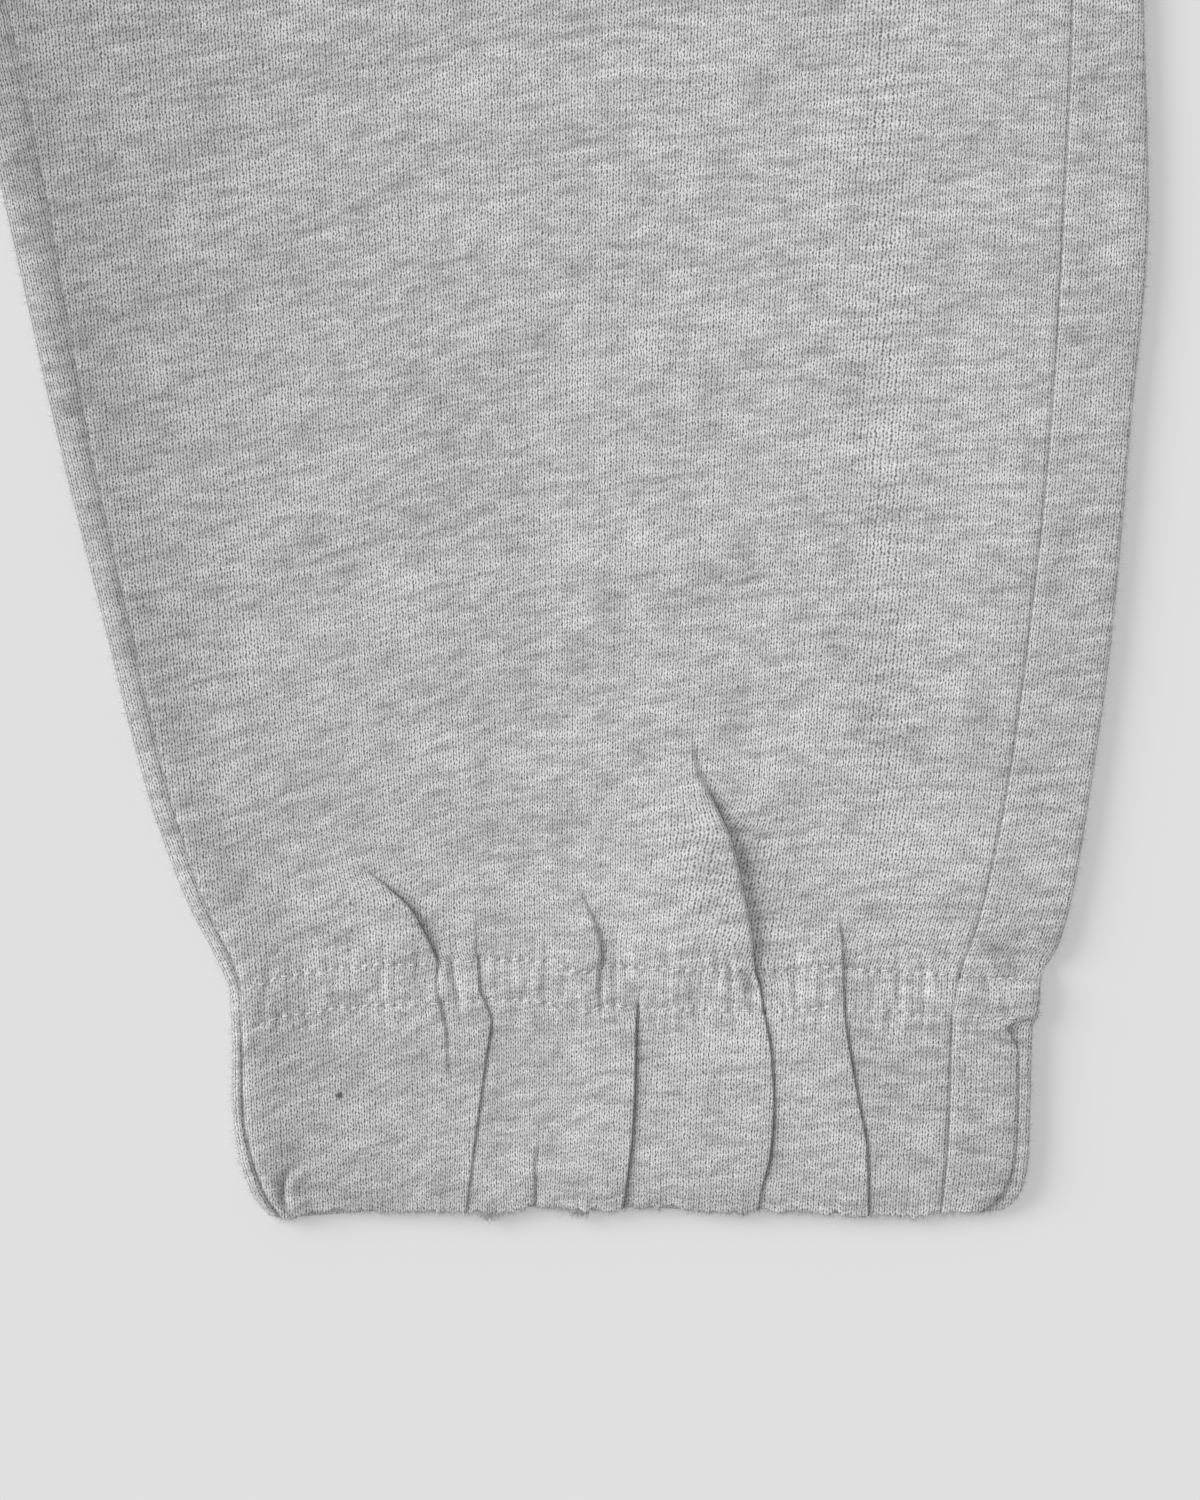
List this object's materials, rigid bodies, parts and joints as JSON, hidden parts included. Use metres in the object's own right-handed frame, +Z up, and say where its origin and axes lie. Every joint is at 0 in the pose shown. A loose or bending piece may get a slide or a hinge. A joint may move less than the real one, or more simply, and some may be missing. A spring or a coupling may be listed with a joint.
{
  "type": "jogger sweatpants",
  "caption": "Heather-grey jersey jogger sweatpants lying flat, with a gathered elastic waistband and frilled elastic hems.",
  "frame": {"origin": "on the surface the garment lies on, under the middle of its outline", "axes": "+Y towards the waist along the garment's length, +X towards the wearer's left leg, +Z up from the surface, front of the garment up"},
  "size_m": [0.609, 1.001, 0.0076],
  "materials": {
    "jersey_front": "heather-grey cotton sweatshirt jersey, matt",
    "jersey_back": "heather-grey cotton sweatshirt jersey, matt",
    "jersey_band": "heather-grey cotton sweatshirt jersey over elastic, matt",
    "thread": "light-grey sewing thread"
  },
  "bodies": {
    "root": {"front_left": "jersey_front", "front_right": "jersey_front", "back_left": "jersey_back", "back_right": "jersey_back", "waistband": "jersey_band"}
  },
  "joints": []
}
